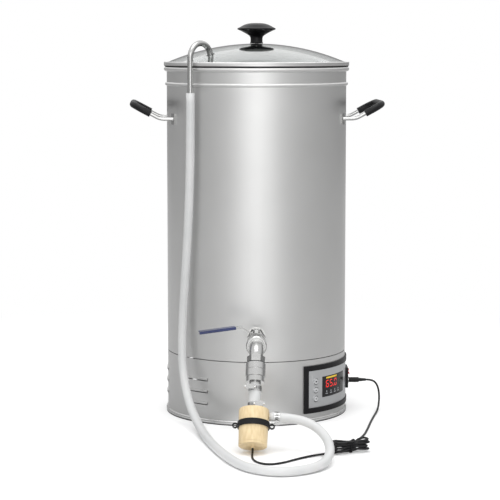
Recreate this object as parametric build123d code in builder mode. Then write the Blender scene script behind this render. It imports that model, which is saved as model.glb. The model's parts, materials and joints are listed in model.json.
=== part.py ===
from build123d import *
import math
import os

# Electric all-in-one brewer, millimetres.  +Z is up and the tap points to the front, -Y.
# The origin is the centre of the standing ring, on the surface that the brewer stands on.
# Angles round the body are counted from the front, positive towards +X.

# Driving dimensions: body
body_radius = 160.0
sheet = 1.2
foot_height = 1.0
base_ring_top = 8.0
seam_low = 111.2
seam_high = 112.4
kettle_floor = 118.0
bead_height = 588.6
bead_reach = 163.0
rim_height = 615.0
rim_roll = 4.2
rim_radius = 160.8

# Driving dimensions: lid and recirculation pipe
lid_base = 621.0
lid_ring_radius = 165.0
glass_radius = 400.0
glass_apex = 659.5
glass_thickness = 3.5
glass_edge = 161.0
knob_top = 695.8
knob_radius = 34.0
pipe_angle = -41.0
pipe_outside = 173.0
pipe_inside = 121.0
pipe_radius = 5.0
pipe_end = 573.0

# Driving dimensions: tap and pump string
valve_height = 158.0
stem_distance = 85.0
elbow_distance = 133.0
string_tilt = 30.0
string_lean = 2.0
lever_turn = 12.0
lever_reach = 98.0
pump_radius = 24.7

# Driving dimensions: handles
handle_angle = 93.0
handle_height = 528.0
handle_half_spacing = 60.0
handle_reach = 219.5
handle_rise = 25.5
rod_radius = 3.2
grip_radius = 6.0

# Driving dimensions: control panel
bezel_start = 31.0
bezel_end = 117.0
bezel_low = 16.8
bezel_high = 100.7
bezel_width = 9.0
face_radius = 161.5
button_angle = 40.2
button_heights = (41.1, 56.5, 71.8)
button_radius = 4.4
socket_angle = 92.0
socket_height = 51.7
rocker_height = 66.8
plate_face = 165.5

# Driving dimensions: malt pipe
malt_radius = 135.0
malt_top = 560.0
lower_sieve = 150.0
upper_sieve = 480.0

# Driving dimensions: hose and pump cord
hose_radius = 7.5
cord_radius = 1.75
cord_lie = 1.85

os.makedirs("parts", exist_ok=True)


def save(part, label):
    """Name a finished piece and write its own file."""
    part.label = label
    export_step(part, f"parts/{label}.step")


def compass(angle):
    """Sine and cosine of an angle in degrees."""
    return math.sin(math.radians(angle)), math.cos(math.radians(angle))


def outward(angle, radius, height):
    """A plane on the body that faces outwards, with its X along the wall and its Y up."""
    s, c = compass(angle)
    return Plane(origin=(radius * s, -radius * c, height), x_dir=(c, s, 0), z_dir=(s, -c, 0))


def meridian(angle):
    """An upright plane through the body's axis: X is the radius and Y the height."""
    s, c = compass(angle)
    return Plane(origin=(0, 0, 0), x_dir=(s, -c, 0), z_dir=(-c, -s, 0))


def rod(plane, low, high, outer, inner=0.0, mode=Mode.ADD):
    """A round bar or tube along a plane's own Z."""
    with BuildSketch(plane.offset(low)) as profile:
        Circle(outer)
        if inner > 0:
            Circle(inner, mode=Mode.SUBTRACT)
    extrude(profile.sketch, amount=high - low, mode=mode)


def hexagon(plane, low, high, corner, bore=0.0):
    """A hexagon nut or flange along a plane's own Z."""
    with BuildSketch(plane.offset(low)) as profile:
        RegularPolygon(corner, 6)
        if bore > 0:
            Circle(bore, mode=Mode.SUBTRACT)
    extrude(profile.sketch, amount=high - low)


def block(plane, low, high, width, height, centre=(0.0, 0.0), mode=Mode.ADD):
    """A rectangular block along a plane's own Z."""
    with BuildSketch(plane.offset(low)) as profile:
        with Locations(centre):
            Rectangle(width, height)
    extrude(profile.sketch, amount=high - low, mode=mode)


def sector(inner, outer, low, high, start=0.0, end=360.0, mode=Mode.ADD):
    """A ring, or a part of one between two angles, round the body's axis."""
    with BuildSketch(meridian(start)) as profile:
        with Locations(((inner + outer) / 2, (low + high) / 2)):
            Rectangle(outer - inner, high - low)
    revolve(profile.sketch, axis=Axis.Z, revolution_arc=end - start, mode=mode)


# ---------------------------------------------------------------- kettle

valve_plane = outward(0, body_radius, valve_height)
nipple_radius = 10.4
probe_plane = Plane(origin=outward(60, 147, 0).origin)

with BuildPart() as kettle_vessel:
    with BuildSketch(Plane.XZ):
        with Locations((body_radius - sheet / 2, (seam_high + rim_height) / 2)):
            Rectangle(sheet, rim_height - seam_high)
        with Locations(((body_radius - sheet / 2) / 2, kettle_floor + sheet / 2)):
            Rectangle(body_radius - sheet / 2, sheet)
        with Locations((bead_reach - 3.2, bead_height)):
            Circle(3.2)
        with Locations((rim_radius, rim_height)):
            Circle(rim_roll)
    revolve(axis=Axis.Z)
    rod(valve_plane, -20, 5, nipple_radius + 0.05, mode=Mode.SUBTRACT)
    rod(probe_plane, kettle_floor - 2, kettle_floor + 4, 3.05, mode=Mode.SUBTRACT)
save(kettle_vessel.part, "kettle_vessel")

with BuildPart() as heating_plate:
    rod(Plane.XY, kettle_floor - 6, kettle_floor, 115)
save(heating_plate.part, "heating_plate")

with BuildPart() as heating_element:
    with BuildSketch(Plane.XZ):
        with Locations((92, kettle_floor - 6 - 4)):
            Circle(4)
    revolve(axis=Axis.Z, revolution_arc=330)
save(heating_element.part, "heating_element")

with BuildPart() as temperature_probe:
    rod(probe_plane, kettle_floor - 16, 165, 3)
    fillet(temperature_probe.edges().group_by(Axis.Z)[-1], 1.5)
save(temperature_probe.part, "temperature_probe")

# ---------------------------------------------------------------- base

louvre_columns = (-138.0, -90.0, -42.0, 142.0)
louvre_heights = (34.0, 55.0, 76.0)
louvre_span = 20.0

with BuildPart() as base_shell:
    sector(body_radius - sheet, body_radius, base_ring_top, seam_low)
    sector(body_radius - 5, body_radius + 5, 28, 90, bezel_start + 5, bezel_end - 5, Mode.SUBTRACT)
    block(outward(180, body_radius, 60), -8, 4, 45.4, 23.4, mode=Mode.SUBTRACT)
    for column in louvre_columns:
        for height in louvre_heights:
            start = column - louvre_span / 2
            end = column + louvre_span / 2
            sector(body_radius - 0.6, body_radius + 1.9, height, height + 4, start, end)
            sector(body_radius - 3, body_radius + 1.1, height - 2, height + 3, start, end, Mode.SUBTRACT)
save(base_shell.part, "base_shell")

with BuildPart() as base_ring:
    with BuildSketch(Plane.XZ):
        with Locations((159.2, (foot_height + base_ring_top) / 2)):
            Rectangle(3.4, base_ring_top - foot_height)
        with Locations((161.05, 2.95), (161.05, 6.05)):
            Circle(1.95)
    revolve(axis=Axis.Z)
save(base_ring.part, "base_ring")

with BuildPart() as rubber_foot_ring:
    sector(156, 162.4, 0, foot_height)
save(rubber_foot_ring.part, "rubber_foot_ring")

with BuildPart() as base_plate:
    rod(Plane.XY, 5.0, 6.2, 157.4)
    with BuildSketch(Plane.XY.offset(5.0)):
        with PolarLocations(60, 12):
            SlotOverall(26, 4, rotation=90)
        with PolarLocations(100, 16):
            SlotOverall(26, 4, rotation=90)
    extrude(amount=1.2, mode=Mode.SUBTRACT)
save(base_plate.part, "base_plate")

# ---------------------------------------------------------------- electrics

with BuildPart() as mains_inlet:
    inlet_plane = outward(180, body_radius, 60)
    block(inlet_plane, -6, 2.8, 50, 28)
    rod(Plane.XY, 30, 90, body_radius + 0.05, mode=Mode.SUBTRACT)
    block(inlet_plane, -22, 0.4, 45, 23)
    block(inlet_plane, -15, 5, 25, 17, mode=Mode.SUBTRACT)
    for blade, lift in ((-7.0, -2.0), (0.0, 3.0), (7.0, -2.0)):
        block(inlet_plane, -15.5, -1, 2, 4, centre=(blade, lift))
save(mains_inlet.part, "mains_inlet")

with BuildPart() as power_supply:
    block(Plane.XY, 6.2, 44, 84, 56, centre=(60, 76))
    fillet(power_supply.edges().filter_by(Axis.Z), 3)
save(power_supply.part, "power_supply")

board_plane = outward(57, 144, 57)
with BuildPart() as control_board:
    block(board_plane, 0, 1.6, 108, 62)
    block(board_plane, -12, 0, 20, 16, centre=(-30, -14))
    block(board_plane, -16, 0, 16, 20, centre=(10, 10))
    block(board_plane, 1.6, 9, 64, 30, centre=(8, 3))
save(control_board.part, "control_board")

with BuildPart() as panel_bezel:
    sector(body_radius, 163.2, bezel_low, bezel_high, bezel_start, bezel_end)
    side = math.degrees(bezel_width / body_radius)
    sector(
        body_radius - 1, 164, bezel_low + bezel_width, bezel_high - bezel_width,
        bezel_start + side, bezel_end - side, Mode.SUBTRACT,
    )
save(panel_bezel.part, "panel_bezel")

face_start = bezel_start + math.degrees((bezel_width + 0.1) / body_radius)
face_end = bezel_end - math.degrees((bezel_width + 0.1) / body_radius)
window_start, window_end = 45.8, 73.4
window_low, window_high = 41.7, 78.3

with BuildPart() as panel_face:
    sector(
        body_radius, face_radius, bezel_low + bezel_width + 0.1, bezel_high - bezel_width - 0.1,
        face_start, face_end,
    )
    sector(
        body_radius - 1, 163, window_low, window_high, window_start, window_end, Mode.SUBTRACT
    )
    for height in button_heights:
        button_plane = outward(button_angle, face_radius, height)
        rod(button_plane, -0.4, 0.6, 6.0)
        rod(button_plane, -12, 8, button_radius + 0.2, mode=Mode.SUBTRACT)
    rod(outward(socket_angle, 150, socket_height), 0, 20, 5.1, mode=Mode.SUBTRACT)
    block(outward(socket_angle, 150, rocker_height), 0, 20, 15.3, 13.1, mode=Mode.SUBTRACT)
save(panel_face.part, "panel_face")

with BuildPart() as display_window:
    sector(
        body_radius + 0.1, face_radius + 0.3, window_low + 0.1, window_high - 0.1,
        window_start + 0.05, window_end - 0.05,
    )
save(display_window.part, "display_window")

for button_name, height in zip(("button_down", "button_up", "button_set"), button_heights):
    with BuildPart() as button:
        button_plane = outward(button_angle, face_radius, height)
        rod(button_plane, -6, 1.0, button_radius)
        fillet(button.edges().group_by(Axis(button_plane.origin, button_plane.z_dir))[-1], 0.6)
        rod(button_plane, -3.2, -2.4, 5.6)
    save(button.part, button_name)

socket_plane = outward(socket_angle, 0, socket_height)
rocker_plane = outward(socket_angle, 0, rocker_height)
plate_plane = outward(socket_angle, 0, 58.5)

with BuildPart() as socket_plate:
    with BuildSketch(plate_plane.offset(158)):
        RectangleRounded(40, 37, 3)
    extrude(amount=plate_face - 158)
    rod(Plane.XY, 30, 90, face_radius + 0.05, mode=Mode.SUBTRACT)
    rod(socket_plane, 150, 170, 5.1, mode=Mode.SUBTRACT)
    block(rocker_plane, 150, 170, 15.3, 13.1, mode=Mode.SUBTRACT)
save(socket_plate.part, "socket_plate")

with BuildPart() as pump_socket:
    rod(socket_plane, 150, 167.6, 5.0)
    rod(socket_plane, plate_face, 167.4, 6.4)
    rod(socket_plane, 157, 168, 2.75, mode=Mode.SUBTRACT)
save(pump_socket.part, "pump_socket")

with BuildPart() as switch_frame:
    block(rocker_plane, 152, plate_face, 15.2, 13.0)
    block(rocker_plane, plate_face, plate_face + 1.0, 17.5, 14.6)
    block(rocker_plane, 155, 168, 12.8, 10.6, mode=Mode.SUBTRACT)
save(switch_frame.part, "switch_frame")

rocker_tilt = 9.0
rocker_pivot = 161.5
with BuildPart() as pump_switch:
    s, c = compass(socket_angle)
    pivot = (rocker_pivot * s, -rocker_pivot * c, rocker_height)
    rise, run = compass(rocker_tilt)
    with BuildSketch(Plane(origin=pivot, x_dir=(s * run, -c * run, rise), z_dir=(-c, -s, 0))):
        with BuildLine():
            Polyline((-3, -4.2), (7.6, -4.2), (5.6, 0), (7.6, 4.2), (-3, 4.2), close=True)
        make_face()
    extrude(amount=6.2, both=True)
save(pump_switch.part, "pump_switch")

# ---------------------------------------------------------------- handles


def handle_path(angle, start):
    """The bent line of one handle, from one leg to the other, and its corner radii."""
    plane = Plane(
        origin=(0, 0, 0),
        x_dir=(compass(angle)[1], compass(angle)[0], 0),
        z_dir=(0, 0, 1),
    )
    slope = handle_rise / (handle_reach - 172)
    if start < 172:
        leg = [(start, handle_height), (172.0, handle_height)]
        radii = [30, 22, 22, 30]
    else:
        leg = [(start, handle_height + slope * (start - 172))]
        radii = [22, 22]
    leg.append((handle_reach, handle_height + handle_rise))
    points = [(handle_half_spacing, -reach, height) for reach, height in leg]
    points += [(-handle_half_spacing, -reach, height) for reach, height in reversed(leg)]
    return [plane.from_local_coords(Vector(*point)) for point in points], radii


def bent_tube(points, radii, outer, inner=0.0):
    """A round rod or tube along a bent line."""
    with BuildLine() as line:
        FilletPolyline(*points, radius=radii)
    with BuildSketch(Plane(origin=points[0], z_dir=points[1] - points[0])) as profile:
        Circle(outer)
        if inner > 0:
            Circle(inner, mode=Mode.SUBTRACT)
    sweep(profile.sketch, path=line.wires()[0])


handle_angles = (handle_angle, handle_angle - 180)
bracket_spread = math.degrees(math.asin(handle_half_spacing / body_radius))
bracket_low = handle_height - 10
bracket_high = handle_height + 10
with BuildPart() as handle_rods:
    for angle in handle_angles:
        bent_tube(*handle_path(angle, 140), rod_radius)
    rod(Plane.XY, bracket_low, bracket_high, body_radius + 1, mode=Mode.SUBTRACT)
    for angle in handle_angles:
        for middle in (angle - bracket_spread, angle + bracket_spread):
            sector(body_radius, body_radius + 2, bracket_low, bracket_high, middle - 2.6, middle + 2.6)
save(handle_rods.part, "handle_rods")

with BuildPart() as handle_grips:
    for angle in handle_angles:
        bent_tube(*handle_path(angle, 189), grip_radius, rod_radius)
save(handle_grips.part, "handle_grips")

# ---------------------------------------------------------------- tap

with BuildPart() as bulkhead_nipple:
    rod(valve_plane, -18, 46, nipple_radius, 7.5)
save(bulkhead_nipple.part, "bulkhead_nipple")

with BuildPart() as bulkhead_nuts:
    hexagon(valve_plane, -13, -5, 16, nipple_radius)
    hexagon(valve_plane, 3, 11, 16, nipple_radius)
    hexagon(valve_plane, 31, 37, 15, nipple_radius)
save(bulkhead_nuts.part, "bulkhead_nuts")

with BuildPart() as bulkhead_washers:
    rod(valve_plane, -5, -2, 15.5, nipple_radius)
    rod(valve_plane, 0.05, 3, 15.5, nipple_radius)
save(bulkhead_washers.part, "bulkhead_washers")

stem_plane = Plane(origin=(0, -body_radius - stem_distance, valve_height))
seat_inner = 7.5

with BuildPart() as valve_body:
    hexagon(valve_plane, 37, 50, 15.5)
    rod(valve_plane, 50, 98, 13)
    rod(stem_plane, 6, 14.5, 8)
    hexagon(stem_plane, 14.5, 17, 7.4)
    rod(valve_plane, 37, 46, nipple_radius, mode=Mode.SUBTRACT)
    rod(valve_plane, 46, 74, seat_inner, mode=Mode.SUBTRACT)
    rod(valve_plane, 74, 98, 11, mode=Mode.SUBTRACT)
    rod(stem_plane, 5, 18, 4.05, mode=Mode.SUBTRACT)
save(valve_body.part, "valve_body")

with BuildPart() as valve_seats:
    rod(valve_plane, 74, 78, 11, seat_inner)
    rod(valve_plane, 92, 98, 11, seat_inner)
save(valve_seats.part, "valve_seats")

with BuildPart() as valve_end_cap:
    rod(valve_plane, 98, 110, 17.3, seat_inner)
    chamfer(valve_end_cap.edges().filter_by(GeomType.CIRCLE).sort_by(SortBy.LENGTH)[-2:], 1.5)
save(valve_end_cap.part, "valve_end_cap")

lever_s, lever_c = compass(lever_turn)
lever_plane = Plane(
    origin=stem_plane.origin, x_dir=(-lever_c, -lever_s, 0), z_dir=(-lever_s, lever_c, 0)
)
lever_base = 17.3
lever_sheet = 2.2
lever_top = 30.0
lever_tip = 22.5
crank_start = 9.0
crank_end = 26.0

with BuildPart() as valve_ball:
    with Locations(stem_plane.origin):
        Sphere(10)
    rod(Plane(stem_plane.origin, x_dir=(0, 0, 1), z_dir=lever_plane.x_dir), -12, 12, 6.5, mode=Mode.SUBTRACT)
    rod(stem_plane, 8.5, 12, 12, mode=Mode.SUBTRACT)
save(valve_ball.part, "valve_ball")

with BuildPart() as valve_stem:
    rod(stem_plane, 8.5, lever_base, 4.0)
    rod(stem_plane, lever_base, 26, 3.0)
save(valve_stem.part, "valve_stem")


def lever_strip(start, thickness, width, mode=Mode.ADD):
    """The cranked strip of the tap's lever, or its straight outer length."""
    middle = lever_base + lever_sheet / 2
    crank = [(-8.0, middle), (crank_start, middle), (crank_end, lever_top)]
    fall = (lever_tip - lever_top) / (lever_reach - crank_end)
    with BuildSketch(lever_plane) as profile:
        with BuildLine():
            if start < crank_end:
                FilletPolyline(*crank, (lever_reach, lever_tip), radius=5)
            else:
                Line((start, lever_top + fall * (start - crank_end)), (lever_reach, lever_tip))
        trace(line_width=thickness)
    extrude(profile.sketch, amount=width / 2, both=True, mode=mode)


with BuildPart() as valve_lever:
    lever_strip(-8, lever_sheet, 11)
    rod(stem_plane, 10, 25, 3.0, mode=Mode.SUBTRACT)
save(valve_lever.part, "valve_lever")

with BuildPart() as lever_sleeve:
    lever_strip(36, 4.8, 13.4)
    lever_strip(-8, lever_sheet, 11, mode=Mode.SUBTRACT)
save(lever_sleeve.part, "lever_sleeve")

with BuildPart() as lever_nut:
    hexagon(stem_plane, lever_base + lever_sheet, 25, 6.2, 3.0)
save(lever_nut.part, "lever_nut")

# ---------------------------------------------------------------- outlet string and pump

tilt_s, tilt_c = compass(string_tilt)
lean_s, lean_c = compass(string_lean)
string_plane = Plane(
    origin=(0, -body_radius - elbow_distance, valve_height),
    x_dir=(lean_c, -tilt_s * lean_s, -tilt_c * lean_s),
    z_dir=(-lean_s, -tilt_s * lean_c, -tilt_c * lean_c),
)
elbow_start = valve_plane.from_local_coords(Vector(0, 0, 110))
elbow_end = string_plane.from_local_coords(Vector(0, 0, 14))

with BuildPart() as outlet_elbow:
    with BuildLine() as elbow_line:
        FilletPolyline(elbow_start, string_plane.origin, elbow_end, radius=20)
    with BuildSketch(valve_plane.offset(110)):
        Circle(11.5)
        Circle(seat_inner, mode=Mode.SUBTRACT)
    sweep(path=elbow_line.wires()[0])
    rod(valve_plane, 110, 115, 13.5, seat_inner)
    hexagon(string_plane, 14, 25, 15, 8)
save(outlet_elbow.part, "outlet_elbow")

with BuildPart() as coupler_gasket:
    rod(string_plane, 25, 27, 14.6, 8)
save(coupler_gasket.part, "coupler_gasket")

with BuildPart() as quick_coupler:
    rod(string_plane, 27, 50, 16.4, 8)
    rod(string_plane, 50, 59, 15, 8)
    rod(string_plane, 37.5, 39, 17, 15.8, mode=Mode.SUBTRACT)
save(quick_coupler.part, "quick_coupler")

tube_bore = 7.0
with BuildPart() as hose_tail:
    rod(string_plane, 59, 64, 9.5, 5)
    rod(string_plane, 64, 80, tube_bore, 5)
save(hose_tail.part, "hose_tail")

with BuildPart() as suction_tube:
    rod(string_plane, 64, 106, 10, tube_bore)
save(suction_tube.part, "suction_tube")

port_height = 117.0
port_plane = Plane(
    origin=string_plane.from_local_coords(Vector(0, 0, port_height)),
    x_dir=string_plane.y_dir,
    z_dir=string_plane.x_dir,
)
with BuildPart() as pump_head:
    rod(string_plane, 106, 130, pump_radius)
    fillet(pump_head.edges().group_by(Axis(string_plane.origin, string_plane.z_dir))[0], 2)
    rod(string_plane, 92, 107, tube_bore)
    rod(port_plane, 20, 29, 4.9)
    rod(string_plane, 111, 130, 17, mode=Mode.SUBTRACT)
    rod(string_plane, 92, 111, 4.5, mode=Mode.SUBTRACT)
    rod(port_plane, 14, 29, 3.4, mode=Mode.SUBTRACT)
save(pump_head.part, "pump_head")

with BuildPart() as pump_housing:
    with BuildSketch(string_plane.offset(130)):
        Circle(24.2)
    extrude(amount=34, taper=1.5)
    rod(string_plane, 130, 154, 8.3, mode=Mode.SUBTRACT)
    rod(string_plane, 112, 155, 1.5)
    rod(string_plane, 134, 164, 19, 9.5, mode=Mode.SUBTRACT)
save(pump_housing.part, "pump_housing")

with BuildPart() as pump_end_cap:
    rod(string_plane, 164, 168.5, 23.3)
    fillet(pump_end_cap.edges().sort_by(SortBy.LENGTH)[-2:], 0.8)
    rod(string_plane, 168.5, 171.5, 3.0)
save(pump_end_cap.part, "pump_end_cap")

with BuildPart() as pump_stator:
    rod(string_plane, 135, 155, 18.9, 9.6)
save(pump_stator.part, "pump_stator")

with BuildPart() as pump_impeller:
    rod(string_plane, 118, 121, 15)
    rod(string_plane, 121, 151, 7.8)
    with BuildSketch(string_plane.offset(112.5)):
        with PolarLocations(9.5, 6):
            Rectangle(9, 1.6)
        Circle(4)
    extrude(amount=6)
    rod(string_plane, 112, 152, 1.55, mode=Mode.SUBTRACT)
save(pump_impeller.part, "pump_impeller")

with BuildPart() as pump_band:
    rod(string_plane, 128, 138, 26.4, pump_radius + 0.05)
    for side in (-1, 1):
        ear = Plane(
            origin=string_plane.from_local_coords(Vector(side * 30.0, 0, 134)),
            x_dir=string_plane.x_dir,
            z_dir=string_plane.y_dir,
        )
        rod(ear, -1.8, 1.8, 4.8, 2.6)
save(pump_band.part, "pump_band")

with BuildPart() as hose_clamps:
    for position, side in ((66.0, -1), (95.0, 1)):
        rod(string_plane, position, position + 9, 11, 10.05)
        screw = Plane(
            origin=string_plane.from_local_coords(Vector(side * 8, 12.2, position + 4.5)),
            x_dir=string_plane.y_dir,
            z_dir=string_plane.x_dir,
        )
        block(screw, -7, 7, 4.5, 8)
        rod(screw, -9, 9, 2.2)
        rod(string_plane, position - 1, position + 10, 10.05, mode=Mode.SUBTRACT)
    rod(port_plane, 33, 42, 8.6, hose_radius + 0.1)
    screw = Plane(
        origin=port_plane.from_local_coords(Vector(0, 0, 37.5)) + string_plane.z_dir * 10.2,
        x_dir=string_plane.x_dir,
        z_dir=string_plane.y_dir,
    )
    block(screw, -6, 6, 8, 4)
    rod(screw, -8, 8, 1.9)
save(hose_clamps.part, "hose_clamps")

# ---------------------------------------------------------------- lid

glass_centre = glass_apex - glass_radius
pipe_s, pipe_c = compass(pipe_angle)
hole_plane = Plane(origin=(121.3 * pipe_s, -121.3 * pipe_c, 0))

with BuildPart() as lid_glass:
    with Locations((0, 0, glass_centre)):
        Sphere(glass_radius)
        Sphere(glass_radius - glass_thickness, mode=Mode.SUBTRACT)
    with BuildSketch(Plane.XY.offset(glass_centre - glass_radius - 1)):
        Circle(glass_radius + 1)
        Circle(glass_edge, mode=Mode.SUBTRACT)
    extrude(amount=2 * glass_radius + 2, mode=Mode.SUBTRACT)
    with BuildSketch(Plane.XY.offset(glass_centre - glass_radius - 1)):
        Circle(glass_radius + 1)
    extrude(amount=glass_radius + 200, mode=Mode.SUBTRACT)
    rod(Plane.XY, 600, 680, 4.2, mode=Mode.SUBTRACT)
    rod(hole_plane, 600, 680, 7, mode=Mode.SUBTRACT)
save(lid_glass.part, "lid_glass")

with BuildPart() as lid_ring:
    sector(153, lid_ring_radius, lid_base, 627.8)
    sector(152, 158.5, 624.6, 629, mode=Mode.SUBTRACT)
    sector(153, 154.2, 613, lid_base)
    add(lid_glass.part, mode=Mode.SUBTRACT)
    fillet(lid_ring.edges().group_by(Axis.Z)[-1].sort_by(SortBy.LENGTH)[-1], 1.2)
save(lid_ring.part, "lid_ring")

with BuildPart() as lid_gasket:
    sector(154.4, 164, rim_height + rim_roll + 0.1, lid_base)
save(lid_gasket.part, "lid_gasket")

with BuildPart() as lid_knob:
    with BuildSketch(Plane.XZ):
        with BuildLine():
            Polyline((3.2, glass_apex + 0.2), (12, glass_apex + 0.2), (10.7, glass_apex + 3))
            Line((10.7, glass_apex + 3), (10.7, 668))
            Spline(
                (10.7, 668), (14.5, 674.5), (24, 680), (knob_radius - 1, 684),
                tangents=((0, 1), (1, 0.35)),
            )
            ThreePointArc((knob_radius - 1, 684), (knob_radius, 685.6), (knob_radius - 1.2, 687))
            Spline(
                (knob_radius - 1.2, 687), (22, 692.6), (3.2, knob_top),
                tangents=((-1, 0.45), (-1, 0)),
            )
            Line((3.2, knob_top), (3.2, glass_apex + 0.2))
        make_face()
    revolve(axis=Axis.Z)
    rod(Plane.XY, 680, knob_top - 2, 3.2)
    rod(Plane.XY, knob_top - 2, knob_top - 0.05, 3.2)
save(lid_knob.part, "lid_knob")

with BuildPart() as knob_washer:
    with BuildSketch(Plane.XZ):
        with BuildLine():
            Polyline((3.2, 655.6), (10.5, 655.4), (30, 651.5), (30, 650), (9, 653), (3.2, 653), close=True)
        make_face()
    revolve(axis=Axis.Z)
save(knob_washer.part, "knob_washer")

with BuildPart() as knob_screw:
    rod(Plane.XY, 653, 679.9, 3.0)
    rod(Plane.XY, 649.5, 653, 6.5)
save(knob_screw.part, "knob_screw")

pipe_bend = (pipe_outside - pipe_inside) / 2
pipe_spring = 634.0
pipe_foot = 600.0
with BuildPart() as recirculation_pipe:
    pipe_meridian = meridian(pipe_angle)
    with BuildLine(pipe_meridian) as pipe_line:
        Line((pipe_outside, pipe_end), (pipe_outside, pipe_spring))
        ThreePointArc(
            (pipe_outside, pipe_spring),
            ((pipe_outside + pipe_inside) / 2, pipe_spring + pipe_bend),
            (pipe_inside, pipe_spring),
        )
        Line((pipe_inside, pipe_spring), (pipe_inside, pipe_foot))
    hose_mouth = outward(pipe_angle, pipe_outside, pipe_end).origin
    with BuildSketch(Plane(origin=hose_mouth)):
        Circle(pipe_radius)
        Circle(pipe_radius - 0.8, mode=Mode.SUBTRACT)
    sweep(path=pipe_line.wires()[0])
save(recirculation_pipe.part, "recirculation_pipe")

# ---------------------------------------------------------------- malt pipe

with BuildPart() as malt_pipe:
    sector(malt_radius - 1, malt_radius, kettle_floor + sheet + 0.4, malt_top)
    sector(malt_radius - 3, malt_radius - 0.5, lower_sieve - 2, lower_sieve)
    sector(malt_radius - 2, malt_radius + 1.2, malt_top - 3, malt_top)
    for turn in range(0, 180, 30):
        rod(outward(turn, 0, 132), -150, 150, 6, mode=Mode.SUBTRACT)
    rod(outward(90, 0, malt_top - 22), -150, 150, 8, mode=Mode.SUBTRACT)
save(malt_pipe.part, "malt_pipe")

with BuildPart() as malt_sieves:
    for height in (lower_sieve, upper_sieve):
        rod(Plane.XY, height, height + 1.5, malt_radius - 1.3)
        with BuildSketch(Plane.XY.offset(height)):
            for ring in range(1, 6):
                with PolarLocations(ring * 23.0, ring * 6):
                    Circle(3)
        extrude(amount=1.5, mode=Mode.SUBTRACT)
save(malt_sieves.part, "malt_sieves")

# ---------------------------------------------------------------- hose and cord

arc_share = 0.45


def corner_radii(points):
    """The largest arcs that the runs of a route leave room for, one for each corner."""
    radii = []
    for before, corner, after in zip(points, points[1:], points[2:]):
        arriving = Vector(*corner) - Vector(*before)
        leaving = Vector(*after) - Vector(*corner)
        half_turn = math.radians(arriving.get_angle(leaving)) / 2
        radii.append(arc_share * min(arriving.length, leaving.length) / math.tan(half_turn))
    return radii


def lay_tube(points, radius, label):
    """A round tube along straight runs joined by tangent arcs."""
    points = [tuple(Vector(*point)) for point in points]
    radii = corner_radii(points)
    with BuildPart() as tube:
        with BuildLine() as route:
            FilletPolyline(*points, radius=radii)
        with BuildSketch(Plane(origin=points[0], z_dir=Vector(*points[1]) - Vector(*points[0]))):
            Circle(radius)
        sweep(path=route.wires()[0])
    length = route.wires()[0].length
    expected = math.pi * radius**2 * length
    print(label, "length", round(length, 1), "radii", [round(value, 1) for value in radii])
    print(label, "volume over section times length", round(tube.part.volume / expected, 4))
    save(tube.part, label)


port_mouth = string_plane.from_local_coords(Vector(0, 0, port_height)) + string_plane.x_dir * 29.0
hose_exit = port_mouth + string_plane.x_dir * 27.0
hose_route = [
    port_mouth,
    hose_exit,
    (88, -362, 48),
    (111, -392, 34),
    (119, -438, 19),
    (107, -486, 8.6),
    (76, -524, 7.6),
    (33, -540, 7.6),
    (-8, -516, 7.6),
    (-36, -466, 7.6),
    (-61, -385, 7.6),
    (-82, -297, 7.8),
    (-98, -219, 13),
    (-117, -160, 40),
    (-129, -129, 92),
    (-130, -118, 155),
    (-125, -121, 240),
    (-118, -127, 345),
    outward(pipe_angle, pipe_outside, 470).origin,
    outward(pipe_angle, pipe_outside, pipe_end).origin,
]
lay_tube(hose_route, hose_radius, "return_hose")

hank_turn = 25.0
hank_half = 31.5
hank_s, hank_c = compass(hank_turn)
hank_plane = Plane(
    origin=(153.5, -368.8, 9.2), x_dir=(hank_c, hank_s, 0), z_dir=(hank_s, -hank_c, 0)
)
gland_mouth = string_plane.from_local_coords(Vector(0, 0, 171.5))
gland_drop = gland_mouth + string_plane.z_dir * 8.9
cord_route = [
    gland_mouth,
    gland_drop,
    (-7, -398, cord_lie),
    (-6, -424, cord_lie),
    (2, -449, cord_lie),
    (20, -462, cord_lie),
    (42, -450, cord_lie),
    (64, -423, cord_lie),
    (86, -402, 2.4),
    hank_plane.from_local_coords(Vector(-hank_half - 18, -4, 0)),
    hank_plane.from_local_coords(Vector(-hank_half, -4, 0)),
]
lay_tube(cord_route, cord_radius, "pump_cord")

with BuildPart() as pump_cord_hank:
    with BuildSketch(hank_plane):
        with BuildLine():
            Spline(
                (-hank_half, 6), (-18, 8.4), (0, 6.2), (18, 8.0), (hank_half, 5.5),
                tangents=((1, 0.5), (1, -0.5)),
            )
            Polyline((-hank_half, 6), (-hank_half, 0), (hank_half, 0), (hank_half, 5.5))
        make_face()
    revolve(axis=Axis(hank_plane.origin, hank_plane.x_dir))
save(pump_cord_hank.part, "pump_cord_hank")

plug_tail = socket_plane.from_local_coords(Vector(0, 0, 199))
lead_route = [
    (155, -362.6, 8.4),
    (158, -340, 5.0),
    (160.5, -317, 2.2),
    (168, -284, cord_lie),
    (182, -242, cord_lie),
    (191, -190, cord_lie),
    (199, -137, cord_lie),
    (208, -84, cord_lie),
    (217, -38, 2.2),
    (222, -12, 10),
    (223.5, 2, 28),
    (220, 7, 43),
    plug_tail + socket_plane.z_dir * 12.0,
    plug_tail,
]
lay_tube(lead_route, cord_radius, "pump_cord_lead")

with BuildPart() as pump_plug:
    rod(socket_plane, 168.0, 186, 4.6)
    with BuildSketch(socket_plane.offset(186)):
        Circle(3.4)
    with BuildSketch(socket_plane.offset(199)):
        Circle(2.3)
    loft()
    rod(socket_plane, 158, 168, 2.7)
    fillet(pump_plug.edges().filter_by(GeomType.CIRCLE).sort_by(SortBy.LENGTH)[-2:], 0.6)
save(pump_plug.part, "pump_plug")
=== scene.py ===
import json
import math

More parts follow.
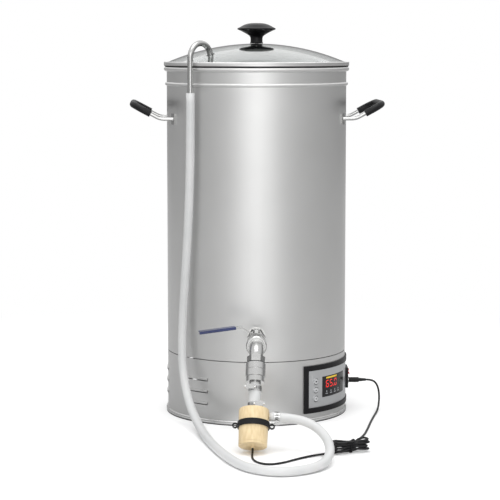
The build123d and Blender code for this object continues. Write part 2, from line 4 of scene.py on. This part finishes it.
import bmesh
import bpy
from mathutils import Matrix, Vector


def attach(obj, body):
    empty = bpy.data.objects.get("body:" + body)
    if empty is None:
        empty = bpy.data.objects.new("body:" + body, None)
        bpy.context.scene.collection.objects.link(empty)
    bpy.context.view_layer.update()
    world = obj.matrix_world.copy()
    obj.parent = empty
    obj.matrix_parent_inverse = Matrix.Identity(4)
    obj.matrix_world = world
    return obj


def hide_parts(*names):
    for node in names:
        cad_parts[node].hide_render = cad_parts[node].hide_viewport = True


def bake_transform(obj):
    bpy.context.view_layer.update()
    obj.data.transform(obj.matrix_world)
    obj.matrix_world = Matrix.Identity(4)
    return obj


MM = 0.001  # millimetres to metres

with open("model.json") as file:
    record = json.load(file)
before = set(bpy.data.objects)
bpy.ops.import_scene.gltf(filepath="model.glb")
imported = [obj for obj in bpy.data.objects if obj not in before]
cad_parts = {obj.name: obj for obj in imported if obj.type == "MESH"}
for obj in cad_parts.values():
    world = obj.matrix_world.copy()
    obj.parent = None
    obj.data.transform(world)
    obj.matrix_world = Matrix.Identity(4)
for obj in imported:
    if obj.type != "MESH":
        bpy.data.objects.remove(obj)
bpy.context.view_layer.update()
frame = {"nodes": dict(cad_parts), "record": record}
nodes = frame["nodes"]
collection = bpy.context.scene.collection

# ---------------------------------------------------------------- camera

camera_data = bpy.data.cameras.new("camera")
camera_data.sensor_width = 36.0
camera_data.lens = 133.0
camera_data.dof.use_dof = False
camera = bpy.data.objects.new("camera", camera_data)
camera.location = (0.0, -3.31, 0.66)
aim = Vector((-0.0116, 0.0, 0.2896))
camera.rotation_euler = (aim - camera.location).to_track_quat("-Z", "Y").to_euler()
collection.objects.link(camera)
bpy.context.scene.camera = camera
bpy.context.scene.view_settings.view_transform = "Standard"

# ---------------------------------------------------------------- helpers


def turned(angle, radius, height):
    """A point at a compass angle from the front, turning towards the right, in millimetres."""
    a = math.radians(angle)
    return Vector((radius * math.sin(a), -radius * math.cos(a), height)) * MM


def mesh_object(name, verts, faces, material, body, smooth=True):
    """A mesh piece in the row frame that rides on a body."""
    mesh = bpy.data.meshes.new(name)
    mesh.from_pydata([tuple(v) for v in verts], [], faces)
    mesh.validate()
    piece = bpy.data.objects.new(name, mesh)
    collection.objects.link(piece)
    work = bmesh.new()
    work.from_mesh(mesh)
    bmesh.ops.recalc_face_normals(work, faces=work.faces)
    work.to_mesh(mesh)
    work.free()
    for polygon in mesh.polygons:
        polygon.use_smooth = smooth
    mesh.materials.append(material)
    if body:
        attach(piece, body)
    return piece


def spline_curve(name, points, radius):
    """An open NURBS curve with the given points, in millimetres, as its control points."""
    curve = bpy.data.curves.new(name, "CURVE")
    curve.dimensions = "3D"
    spline = curve.splines.new("NURBS")
    spline.points.add(len(points) - 1)
    for place, point in zip(spline.points, points):
        place.co = (point[0] * MM, point[1] * MM, point[2] * MM, 1.0)
    spline.order_u = 3
    spline.use_endpoint_u = True
    spline.resolution_u = 12
    curve.bevel_depth = radius * MM
    curve.bevel_resolution = 5
    curve.use_fill_caps = True
    piece = bpy.data.objects.new(name, curve)
    collection.objects.link(piece)
    return piece


def line_of(name, points):
    """The points, in metres, that a NURBS route passes through."""
    guide = spline_curve(name, points, 0.0)
    guide.data.use_fill_caps = False
    bpy.context.view_layer.update()
    mesh = bpy.data.meshes.new_from_object(guide)
    line = [v.co.copy() for v in mesh.vertices]
    bpy.data.objects.remove(guide)
    return line


def tube_rings(line, radii, sides):
    """Rings of points round a line, turned as little as possible from one to the next."""
    rings = []
    across = None
    for index, place in enumerate(line):
        before = line[max(index - 1, 0)]
        after = line[min(index + 1, len(line) - 1)]
        along = (after - before).normalized()
        if across is None:
            across = along.orthogonal().normalized()
        across = (across - along * across.dot(along)).normalized()
        other = along.cross(across)
        radius = radii[index]
        rings.append([
            place + (across * math.cos(t) + other * math.sin(t)) * radius
            for t in (math.tau * k / sides for k in range(sides))
        ])
    return rings


def hollow_tube(name, line, outer, inner, sides, material, body):
    """A tube with a wall, open at both ends, along a line in metres."""
    outside = tube_rings(line, [outer] * len(line), sides)
    inside = tube_rings(line, [inner] * len(line), sides)
    verts = [v for ring in outside + inside for v in ring]
    faces = []
    count = len(line)
    for layer in (0, 1):
        for i in range(count - 1):
            for k in range(sides):
                a = (layer * count + i) * sides
                b = a + sides
                faces.append((a + k, a + (k + 1) % sides, b + (k + 1) % sides, b + k))
    for i in (0, count - 1):
        for k in range(sides):
            a = i * sides
            b = (count + i) * sides
            faces.append((a + k, a + (k + 1) % sides, b + (k + 1) % sides, b + k))
    return mesh_object(name, verts, faces, material, body)


# ---------------------------------------------------------------- materials


def new_material(name):
    """A material with its node tree, its shader and an object-space coordinate socket."""
    material = bpy.data.materials.new(name)
    material.use_nodes = True
    tree = material.node_tree
    shader = tree.nodes["Principled BSDF"]
    coordinate = tree.nodes.new("ShaderNodeTexCoord").outputs["Object"]
    return material, tree, shader, coordinate


def noise(tree, coordinate, scale, stretch=(1, 1, 1), detail=3.0):
    """The factor of a noise texture, stretched along the axes."""
    mapping = tree.nodes.new("ShaderNodeMapping")
    mapping.inputs["Scale"].default_value = stretch
    texture = tree.nodes.new("ShaderNodeTexNoise")
    texture.inputs["Scale"].default_value = scale
    texture.inputs["Detail"].default_value = detail
    tree.links.new(coordinate, mapping.inputs["Vector"])
    tree.links.new(mapping.outputs["Vector"], texture.inputs["Vector"])
    return texture.outputs["Fac"]


def spread(tree, factor, low, high, socket):
    """Feeds a factor, spread from low to high, to a socket."""
    node = tree.nodes.new("ShaderNodeMapRange")
    node.inputs["From Min"].default_value = 0.3
    node.inputs["From Max"].default_value = 0.7
    node.inputs["To Min"].default_value = low
    node.inputs["To Max"].default_value = high
    tree.links.new(factor, node.inputs["Value"])
    tree.links.new(node.outputs["Result"], socket)


def tint(tree, factor, dark, light, socket):
    """Feeds a colour between dark and light to a socket."""
    ramp = tree.nodes.new("ShaderNodeValToRGB")
    ramp.color_ramp.elements[0].position = 0.3
    ramp.color_ramp.elements[1].position = 0.7
    ramp.color_ramp.elements[0].color = (*dark, 1)
    ramp.color_ramp.elements[1].color = (*light, 1)
    tree.links.new(factor, ramp.inputs["Fac"])
    tree.links.new(ramp.outputs["Color"], socket)


def bump(tree, factor, strength, distance, shader):
    """Adds a bump to a shader."""
    node = tree.nodes.new("ShaderNodeBump")
    node.inputs["Strength"].default_value = strength
    node.inputs["Distance"].default_value = distance
    tree.links.new(factor, node.inputs["Height"])
    tree.links.new(node.outputs["Normal"], shader.inputs["Normal"])


def metal(name, dark, light, smooth, rough, stretch=(1, 1, 1), scale=40.0, lines=0.0, anisotropic=0.0):
    """A metal with brushing or fine wear in its colour, roughness and bump."""
    material, tree, shader, coordinate = new_material(name)
    shader.inputs["Metallic"].default_value = 1.0
    fine = noise(tree, coordinate, scale, stretch, 4.0)
    broad = noise(tree, coordinate, 6.0)
    tint(tree, broad, dark, light, shader.inputs["Base Color"])
    spread(tree, fine, smooth, rough, shader.inputs["Roughness"])
    bump(tree, fine, lines, 0.0002, shader)
    if anisotropic > 0:
        shader.inputs["Anisotropic"].default_value = anisotropic
        tangent = tree.nodes.new("ShaderNodeTangent")
        tangent.direction_type = "RADIAL"
        tangent.axis = "Z"
        tree.links.new(tangent.outputs["Tangent"], shader.inputs["Tangent"])
    return material


def plastic(
    name, dark, light, smooth, rough, scale=900.0, grain=0.12, coat=0.0, transmission=0.0, gloss=0.5,
    grain_way=(1, 1, 1),
):
    """A moulded plastic, rubber or silicone with a fine grain."""
    material, tree, shader, coordinate = new_material(name)
    fine = noise(tree, coordinate, scale, detail=2.0)
    broad = noise(tree, coordinate, 25.0, grain_way)
    tint(tree, broad, dark, light, shader.inputs["Base Color"])
    spread(tree, broad, smooth, rough, shader.inputs["Roughness"])
    bump(tree, fine, grain, 0.0001, shader)
    shader.inputs["Specular IOR Level"].default_value = gloss
    shader.inputs["Coat Weight"].default_value = coat
    shader.inputs["Transmission Weight"].default_value = transmission
    return material


finishes = {
    "brushed_steel": metal(
        "steel_satin", (0.62, 0.62, 0.615), (0.66, 0.66, 0.655), 0.34, 0.40,
        stretch=(1, 1, 60), scale=30.0, lines=0.05, anisotropic=0.8,
    ),
    "rolled_steel": metal(
        "steel_rolled", (0.58, 0.58, 0.575), (0.64, 0.64, 0.635), 0.24, 0.34,
        stretch=(1, 1, 30), scale=30.0, lines=0.05,
    ),
    "polished_steel": metal(
        "steel_polished", (0.40, 0.40, 0.395), (0.48, 0.48, 0.475), 0.16, 0.26, scale=160.0, lines=0.06,
    ),
    "aluminium": metal(
        "aluminium_cast", (0.55, 0.56, 0.57), (0.66, 0.66, 0.67), 0.35, 0.5, scale=220.0, lines=0.2
    ),
    "element_sheath": metal(
        "sheath", (0.16, 0.16, 0.165), (0.27, 0.26, 0.25), 0.4, 0.6, scale=220.0, lines=0.2
    ),
    "black_plastic": plastic(
        "plastic_black", (0.006, 0.006, 0.007), (0.010, 0.010, 0.011), 0.34, 0.44, gloss=0.18
    ),
    "black_rubber": plastic(
        "rubber_black", (0.008, 0.008, 0.008), (0.014, 0.014, 0.014), 0.55, 0.7, gloss=0.3
    ),
    "cord_black": plastic(
        "cord_sheath", (0.006, 0.006, 0.007), (0.010, 0.010, 0.011), 0.40, 0.52, grain=0.06, gloss=0.3
    ),
    "display_black": plastic(
        "display_gloss", (0.004, 0.004, 0.005), (0.006, 0.006, 0.007), 0.12, 0.16, grain=0.0, gloss=0.35
    ),
    "panel_silver": metal(
        "panel_satin", (0.56, 0.57, 0.58), (0.60, 0.61, 0.62), 0.36, 0.44, scale=500.0, lines=0.08
    ),
    "button_silver": plastic("button_satin", (0.50, 0.51, 0.52), (0.56, 0.57, 0.58), 0.32, 0.4),
    "red_plastic": plastic("rocker_red", (0.46, 0.010, 0.010), (0.56, 0.016, 0.014), 0.22, 0.3, coat=0.3),
    "pump_cream": plastic(
        "nylon_cream", (0.60, 0.46, 0.26), (0.72, 0.58, 0.36), 0.36, 0.46, grain=0.1, grain_way=(12, 5, 1)
    ),
    "impeller_black": plastic("impeller_dark", (0.03, 0.03, 0.03), (0.05, 0.05, 0.05), 0.4, 0.5),
    "blue_vinyl": plastic(
        "vinyl_navy", (0.006, 0.014, 0.075), (0.010, 0.022, 0.11), 0.22, 0.32, grain=0.05, coat=0.3
    ),
    "clear_silicone": plastic(
        "silicone_clear", (0.56, 0.57, 0.57), (0.61, 0.61, 0.61), 0.30, 0.42, grain=0.05, transmission=0.08
    ),
    "white_silicone": plastic("silicone_white", (0.74, 0.74, 0.72), (0.82, 0.82, 0.80), 0.4, 0.5),
    "circuit_board": plastic("board_green", (0.012, 0.10, 0.035), (0.02, 0.15, 0.05), 0.3, 0.4),
    "supply_case": plastic("supply_dark", (0.05, 0.05, 0.05), (0.07, 0.07, 0.07), 0.4, 0.5),
}
glass, glass_tree, glass_shader, glass_place = new_material("glass_tempered")
glass_shader.inputs["Base Color"].default_value = (0.90, 0.93, 0.92, 1)
glass_shader.inputs["Transmission Weight"].default_value = 1.0
glass_shader.inputs["IOR"].default_value = 1.5
spread(glass_tree, noise(glass_tree, glass_place, 12.0), 0.01, 0.03, glass_shader.inputs["Roughness"])
finishes["lid_glass"] = glass

# Dark ink for the panel print and button marks, also used as painted shade in the slots of the hose clamps.
print_and_shade_dark = plastic("print_and_painted_shade_dark", (0.012, 0.012, 0.013), (0.02, 0.02, 0.02), 0.4, 0.5)
ink_grey = plastic("print_grey", (0.30, 0.31, 0.33), (0.36, 0.37, 0.39), 0.35, 0.45)
lamp_red = plastic("digits_red", (0.80, 0.012, 0.012), (0.85, 0.02, 0.015), 0.3, 0.4)
red_shader = lamp_red.node_tree.nodes["Principled BSDF"]
red_shader.inputs["Emission Color"].default_value = (1.0, 0.02, 0.015, 1)
red_shader.inputs["Emission Strength"].default_value = 0.45
lamp_yellow = plastic("bar_yellow", (0.80, 0.52, 0.02), (0.85, 0.58, 0.03), 0.3, 0.4)

# ---------------------------------------------------------------- hose and cord

hose_route = (
    (21.4, -351.91, 55.97), (51.88, -352.44, 55.04), (88, -362, 48), (111, -392, 34), (119, -438, 19),
    (107, -486, 8.6), (76, -524, 7.6), (33, -540, 7.6), (-8, -516, 7.6), (-36, -466, 7.6), (-61, -385, 7.6),
    (-82, -297, 7.8), (-98, -219, 13), (-117, -160, 40), (-129, -129, 92), (-130, -118, 155),
    (-125, -121, 240), (-118, -127, 345), (-113.5, -130.57, 470), (-113.5, -130.57, 575),
)
hose_line = line_of("hose_guide", hose_route)
hose = hollow_tube("return_hose_tube", hose_line, 0.0075, 0.00505, 28, finishes["clear_silicone"], None)
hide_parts("return_hose")
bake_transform(hose)

hank_along = Vector((math.cos(math.radians(25)), math.sin(math.radians(25)), 0))
hank_across = Vector((math.sin(math.radians(25)), -math.cos(math.radians(25)), 0))
hank_middle = Vector((153.5, -368.8, 9.2))


def in_hank(along, across, up):
    """A point of the hank, in millimetres."""
    return hank_middle + hank_along * along + hank_across * across + Vector((0, 0, up))


hank_shape = (
    (0, -1.9, 0.0), (9, -3.2, 0.1), (17, -6.0, 0.3), (24, -6.8, 0.4), (29.5, -4.6, 0.5), (30.5, 0, 0.6),
    (29.5, 4.6, 0.7), (24, 6.8, 0.8), (17, 6.0, 0.9), (9, 3.2, 1.0), (0, 1.9, 1.0), (-9, 3.2, 1.0),
    (-17, 6.0, 1.0), (-24, 6.8, 1.0), (-29.5, 4.6, 1.0), (-30.5, 0, 1.0), (-29.5, -4.6, 1.0),
    (-24, -6.8, 1.0), (-17, -6.0, 1.0), (-9, -3.2, 1.0),
)
cord_pitch = 3.7
turn_sizes = (1.0, 0.88, 1.03, 0.93)
turn_widths = (1.0, 1.15, 0.95, 1.2)
fold_width = 1.3
fan_rise = 1.8
cord_points = [
    (-5.99, -378.70, 9.57), (-6.30, -383.15, 1.86), (-7, -398, 1.85), (-6, -424, 1.85), (2, -449, 1.85),
    (20, -462, 1.85), (42, -450, 1.85), (64, -423, 1.85), (86, -402, 2.2),
    in_hank(-49, 0, -6.4), in_hank(-31, 0, -6.4), in_hank(-12, -1.9, -6.2),
]
for turn, (size, width) in enumerate(zip(turn_sizes, turn_widths)):
    for along, across, climb in hank_shape:
        end_size = size if along > 9 else 1.0
        side_size = fold_width * width if abs(along) > 9 else 1.0
        fan = turn * max(along / 30, -along / 60) * fan_rise
        cord_points.append(
            in_hank(along * end_size, across * side_size, -6.2 + cord_pitch * (turn + climb) + fan)
        )
cord_points += [
    in_hank(0, -1.9, 8.8), in_hank(6, -4.5, 11.4), in_hank(11, -10, 9.0), in_hank(14.5, -17, 1.0),
    (160, -340, 4.4), (161.5, -317, 2.2), (168, -284, 1.85), (182, -242, 1.85), (191, -190, 1.85),
    (199, -137, 1.85), (208, -84, 1.85), (217, -38, 2.2), (222, -12, 10), (223.5, 2, 28), (220, 7, 43),
    (210.87, 7.36, 51.7), (198.0, 6.92, 51.7),
]
cord = spline_curve("pump_cord_line", cord_points, 1.75)
cord.data.materials.append(finishes["cord_black"])
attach(cord, "root")
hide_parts("pump_cord", "pump_cord_hank", "pump_cord_lead")

tie_sides = 48
tie_line = []
for step in range(tie_sides):
    t = math.tau * step / tie_sides
    c, s = math.cos(t), math.sin(t)
    side = 4.1 * math.copysign(abs(c) ** 0.5, c)
    lift = 8.6 * math.copysign(abs(s) ** 0.5, s) + 1.0
    tie_line.append((side, lift))
tie_verts = []
for offset, grow in ((-1.6, 0.0), (-1.6, 0.8), (1.6, 0.8), (1.6, 0.0)):
    for side, lift in tie_line:
        reach = math.hypot(side, lift - 1.0)
        scale = (reach + grow) / reach
        tie_verts.append(in_hank(offset - 1.0, side * scale, (lift - 1.0) * scale + 1.0) * MM)
tie_faces = [
    (
        row * tie_sides + k, row * tie_sides + (k + 1) % tie_sides,
        (row + 1) % 4 * tie_sides + (k + 1) % tie_sides, (row + 1) % 4 * tie_sides + k,
    )
    for row in range(4) for k in range(tie_sides)
]
tie = mesh_object("cord_tie", tie_verts, tie_faces, finishes["black_plastic"], "root")

# ---------------------------------------------------------------- finishes of the CAD pieces

slot_of = {part["node"]: part["material_slot"] for part in frame["record"]["subparts"]}
finely_edged = ("lid_knob", "lid_glass", "kettle_vessel", "base_shell")
edge_width = 0.00025
fine_edge_width = 0.00008
for name, piece in nodes.items():
    piece.data.materials.clear()
    piece.data.materials.append(finishes[slot_of[name]])
    weld = piece.modifiers.new("weld", "WELD")
    weld.merge_threshold = 0.000002
    for polygon in piece.data.polygons:
        polygon.use_smooth = True
    if "custom_normal" in piece.data.attributes:
        piece.data.attributes.remove(piece.data.attributes["custom_normal"])
    bevel = piece.modifiers.new("edge", "BEVEL")
    bevel.limit_method = "ANGLE"
    bevel.angle_limit = math.radians(32)
    bevel.width = fine_edge_width if name in finely_edged else edge_width
    bevel.segments = 2
    bevel.harden_normals = True

# ---------------------------------------------------------------- control panel print


def relief(name, outlines, low, high, material, body):
    """Thin raised shapes on the round panel: outlines of (angle, height) between two radii in mm."""
    verts = []
    faces = []
    for outline in outlines:
        first = len(verts)
        count = len(outline)
        verts += [turned(angle, low, height) for angle, height in outline]
        verts += [turned(angle, high, height) for angle, height in outline]
        faces.append(tuple(first + k for k in range(count)))
        faces.append(tuple(first + count + k for k in range(count)))
        for k in range(count):
            n = (k + 1) % count
            faces.append((first + k, first + n, first + count + n, first + count + k))
    return mesh_object(name, verts, faces, material, body, smooth=False)


def strip(start, end, low, high, cells):
    """A bar along the curve of the panel, cut into short cells."""
    step = (end - start) / cells
    return [
        [
            (start + k * step, low), (start + (k + 1) * step, low),
            (start + (k + 1) * step, high), (start + k * step, high),
        ]
        for k in range(cells)
    ]


window_face = 161.8
digit_width, digit_height, bar_width = 3.0, 13.0, 1.6
segments_on = {"0": "abcdef", "5": "acdfg", "6": "acdefg"}


def digit(character, left, bottom, width, height, bar):
    """The lit bars of one seven-segment digit. Width is in degrees and height in millimetres."""
    across = bar / 2.82
    top = bottom + height
    middle = bottom + height / 2
    right = left + width
    flat = {"a": top - bar / 2, "g": middle, "d": bottom + bar / 2}
    tall = {
        "f": (left, middle, top), "e": (left, bottom, middle),
        "b": (right, middle, top), "c": (right, bottom, middle),
    }
    shapes = []
    for key in segments_on[character]:
        if key in flat:
            y = flat[key]
            x0 = left + across * 0.6
            x1 = right - across * 0.6
            shapes.append([
                (x0, y), (x0 + across / 2, y - bar / 2), (x1 - across / 2, y - bar / 2), (x1, y),
                (x1 - across / 2, y + bar / 2), (x0 + across / 2, y + bar / 2),
            ])
        else:
            x, y0, y1 = tall[key]
            x = x + across / 2 if x == left else x - across / 2
            y0 += bar * 0.6
            y1 -= bar * 0.6
            shapes.append([
                (x, y0), (x + across / 2, y0 + bar / 2), (x + across / 2, y1 - bar / 2), (x, y1),
                (x - across / 2, y1 - bar / 2), (x - across / 2, y0 + bar / 2),
            ])
    return shapes


lit = []
for place, character in enumerate("65"):
    lit += digit(character, 49.2 + place * 4.0, 58.0, digit_width, digit_height, bar_width)
lit += strip(57.0, 57.6, 58.0, 59.6, 1)
lit += digit("0", 58.3, 58.0, digit_width, digit_height, bar_width)
relief("display_digits", lit, window_face - 0.05, window_face + 0.08, lamp_red, "root")
relief(
    "display_bar", strip(49.5, 61.5, 73.6, 76.6, 10), window_face - 0.05, window_face + 0.08, lamp_yellow,
    "root",
)
icons = []
for place in range(4):
    middle = 50.0 + place * 4.6
    icons.append([(middle - 1.1, 46.5), (middle + 1.1, 46.5), (middle + 1.1, 48.2), (middle - 1.1, 48.2)])
    icons.append([(middle - 0.7, 50.0), (middle + 0.7, 50.0), (middle, 53.4)])
relief("display_icons", icons, window_face - 0.05, window_face + 0.06, ink_grey, "root")

ring_places = []
ring_steps = 36
for height in (41.1, 56.5, 71.8):
    for step in range(ring_steps):
        t0 = math.tau * step / ring_steps
        t1 = math.tau * (step + 1) / ring_steps
        ring_places.append([
            (40.2 + r * math.cos(t) / 2.83, height + r * math.sin(t))
            for r, t in ((4.9, t0), (4.9, t1), (5.7, t1), (5.7, t0))
        ])
relief("button_rings_print", ring_places, 162.0, 162.16, print_and_shade_dark, "root")

for name, height, shape in (
    ("button_down", 41.1, ((-0.7, 1.0), (0.0, -1.3), (0.7, 1.0))),
    ("button_up", 56.5, ((-0.7, -1.0), (0.7, -1.0), (0.0, 1.3))),
    ("button_set", 71.8, ((-0.5, -1.2), (0.5, -1.2), (0.75, 0.0), (0.5, 1.2), (-0.5, 1.2), (-0.75, 0.0))),
):
    outline = [(40.2 + across, height + up) for across, up in shape]
    relief("mark_" + name, [outline], 162.46, 162.56, print_and_shade_dark, name)

# ---------------------------------------------------------------- painted shade in the slots of the hose clamps

string_down = Vector((-0.03490, -0.49970, -0.86550)).normalized()
string_right = Vector((0.99939, -0.01745, -0.03022)).normalized()
string_start = Vector((0.0, -293.0, 158.0))


def band_slot_shade(name, middle, axis, radius, length, count):
    """The worm slots pressed into a clamp's band, as thin dark shapes on it: painted shade in place of the
    slot holes, which are not cut.
    """
    first = axis.orthogonal().normalized()
    second = axis.cross(first)
    verts = []
    faces = []
    for k in range(count):
        base = len(verts)
        for grow in (-0.05, 0.05):
            for turn, shift in ((-0.5, -1), (0.5, -1), (0.5, 1), (-0.5, 1)):
                t = math.tau * (k + turn * 0.42) / count
                around = first * math.cos(t) + second * math.sin(t)
                verts.append((middle + around * (radius + grow) + axis * shift * length / 2) * MM)
        faces += [(base, base + 1, base + 2, base + 3), (base + 4, base + 5, base + 6, base + 7)]
        for side in range(4):
            n = (side + 1) % 4
            faces.append((base + side, base + n, base + 4 + n, base + 4 + side))
    return mesh_object(name, verts, faces, print_and_shade_dark, "root", smooth=False)


# Painted shade in the slots of the two bands round the hose and of the port clamp.
band_slot_shade("clamp_slot_shade_upper", string_start + string_down * 70.5, string_down, 11.0, 5.0, 26)
band_slot_shade("clamp_slot_shade_lower", string_start + string_down * 99.5, string_down, 11.0, 5.0, 26)
band_slot_shade(
    "clamp_slot_shade_port", string_start + string_down * 117 + string_right * 37.5, string_right, 8.6, 5.0, 20
)

# ---------------------------------------------------------------- studio


def lamp(name, place, towards, width, height, power):
    """A soft rectangular lamp."""
    data = bpy.data.lights.new(name, "AREA")
    data.shape = "RECTANGLE"
    data.size = width
    data.size_y = height
    data.energy = power
    light = bpy.data.objects.new(name, data)
    light.location = place
    light.rotation_euler = (Vector(towards) - Vector(place)).to_track_quat("-Z", "Y").to_euler()
    collection.objects.link(light)


lamp("front", (0.05, -4.4, 1.3), (0, 0, 0.35), 1.9, 3.4, 42)
lamp("above", (0.0, -0.6, 3.2), (0, 0, 0.3), 2.4, 2.4, 42)
lamp("behind", (0.0, 2.6, 2.4), (0, 0, 0.6), 3.0, 1.2, 5)

world = bpy.data.worlds.new("studio")
bpy.context.scene.world = world
world.use_nodes = True
sky = world.node_tree
for node in list(sky.nodes):
    sky.nodes.remove(node)
direction = sky.nodes.new("ShaderNodeTexCoord")
parts = sky.nodes.new("ShaderNodeSeparateXYZ")
# The surroundings are brighter in front than behind, and bright overhead.
front = sky.nodes.new("ShaderNodeMapRange")
front.inputs["From Min"].default_value = 1.0
front.inputs["From Max"].default_value = -1.0
front.inputs["To Min"].default_value = 0.34
front.inputs["To Max"].default_value = 0.76
above = sky.nodes.new("ShaderNodeMapRange")
above.inputs["From Min"].default_value = 0.12
above.inputs["From Max"].default_value = 0.45
above.inputs["To Min"].default_value = 0.0
above.inputs["To Max"].default_value = 0.95
total = sky.nodes.new("ShaderNodeMath")
total.operation = "ADD"
seen = sky.nodes.new("ShaderNodeLightPath")
white = sky.nodes.new("ShaderNodeBackground")
white.inputs["Strength"].default_value = 1.0
white.inputs["Color"].default_value = (1, 1, 1, 1)
around = sky.nodes.new("ShaderNodeBackground")
choose = sky.nodes.new("ShaderNodeMixShader")
out = sky.nodes.new("ShaderNodeOutputWorld")
sky.links.new(direction.outputs["Generated"], parts.inputs["Vector"])
sky.links.new(parts.outputs["Y"], front.inputs["Value"])
sky.links.new(parts.outputs["Z"], above.inputs["Value"])
sky.links.new(front.outputs["Result"], total.inputs[0])
sky.links.new(above.outputs["Result"], total.inputs[1])
sky.links.new(total.outputs["Value"], around.inputs["Strength"])
sky.links.new(seen.outputs["Is Camera Ray"], choose.inputs["Fac"])
sky.links.new(around.outputs["Background"], choose.inputs[1])
sky.links.new(white.outputs["Background"], choose.inputs[2])
sky.links.new(choose.outputs["Shader"], out.inputs["Surface"])

floor_sides = 96
floor_radius = 6.0
floor_verts = [(0.0, 0.0, 0.0)]
floor_faces = []
for k in range(floor_sides):
    t = math.tau * k / floor_sides
    floor_verts.append((floor_radius * math.cos(t), floor_radius * math.sin(t), 0.0))
    floor_faces.append((0, 1 + k, 1 + (k + 1) % floor_sides))
floor_finish, floor_tree, floor_shader, floor_place = new_material("floor_pale")
floor_shader.inputs["Roughness"].default_value = 0.7
floor_grey = noise(floor_tree, floor_place, 3.0)
tint(floor_tree, floor_grey, (0.88, 0.88, 0.88), (0.90, 0.90, 0.90), floor_shader.inputs["Base Color"])
# The floor melts into the white surroundings away from the object.
reach = floor_tree.nodes.new("ShaderNodeVectorMath")
reach.operation = "LENGTH"
fade = floor_tree.nodes.new("ShaderNodeMapRange")
fade.interpolation_type = "SMOOTHSTEP"
fade.inputs["From Min"].default_value = 0.45
fade.inputs["From Max"].default_value = 1.3
glow = floor_tree.nodes.new("ShaderNodeEmission")
glow.inputs["Color"].default_value = (1, 1, 1, 1)
glow.inputs["Strength"].default_value = 1.0
melt = floor_tree.nodes.new("ShaderNodeMixShader")
floor_out = floor_tree.nodes["Material Output"]
floor_tree.links.new(floor_place, reach.inputs[0])
floor_tree.links.new(reach.outputs["Value"], fade.inputs["Value"])
floor_tree.links.new(fade.outputs["Result"], melt.inputs["Fac"])
floor_tree.links.new(floor_shader.outputs["BSDF"], melt.inputs[1])
floor_tree.links.new(glow.outputs["Emission"], melt.inputs[2])
# For rays other than the camera's, the floor is a diffuse grey with a painted light strip straight ahead of
# the object, darker to its sides: a painted reflection that makes the steel brighter straight ahead of the
# object than to its sides.
sight = floor_tree.nodes.new("ShaderNodeLightPath")
dim = floor_tree.nodes.new("ShaderNodeBsdfDiffuse")
across_floor = floor_tree.nodes.new("ShaderNodeSeparateXYZ")
aside = floor_tree.nodes.new("ShaderNodeMath")
aside.operation = "ABSOLUTE"
ahead = floor_tree.nodes.new("ShaderNodeMath")
ahead.operation = "ABSOLUTE"
slant = floor_tree.nodes.new("ShaderNodeMath")
slant.operation = "DIVIDE"
# Painted light strip on the floor, seen only in reflections: pale straight ahead, darker to the sides.
painted_streak_grey = floor_tree.nodes.new("ShaderNodeMapRange")
painted_streak_grey.interpolation_type = "SMOOTHSTEP"
painted_streak_grey.inputs["From Min"].default_value = 0.05
painted_streak_grey.inputs["From Max"].default_value = 0.7
painted_streak_grey.inputs["To Min"].default_value = 0.95
painted_streak_grey.inputs["To Max"].default_value = 0.44
floor_tree.links.new(floor_place, across_floor.inputs["Vector"])
floor_tree.links.new(across_floor.outputs["X"], aside.inputs[0])
floor_tree.links.new(across_floor.outputs["Y"], ahead.inputs[0])
floor_tree.links.new(aside.outputs["Value"], slant.inputs[0])
floor_tree.links.new(ahead.outputs["Value"], slant.inputs[1])
floor_tree.links.new(slant.outputs["Value"], painted_streak_grey.inputs["Value"])
floor_tree.links.new(painted_streak_grey.outputs["Result"], dim.inputs["Color"])
part = floor_tree.nodes.new("ShaderNodeMixShader")
floor_tree.links.new(sight.outputs["Is Camera Ray"], part.inputs["Fac"])
floor_tree.links.new(dim.outputs["BSDF"], part.inputs[1])
floor_tree.links.new(melt.outputs["Shader"], part.inputs[2])
floor_tree.links.new(part.outputs["Shader"], floor_out.inputs["Surface"])
floor = mesh_object("floor", floor_verts, floor_faces, floor_finish, None)
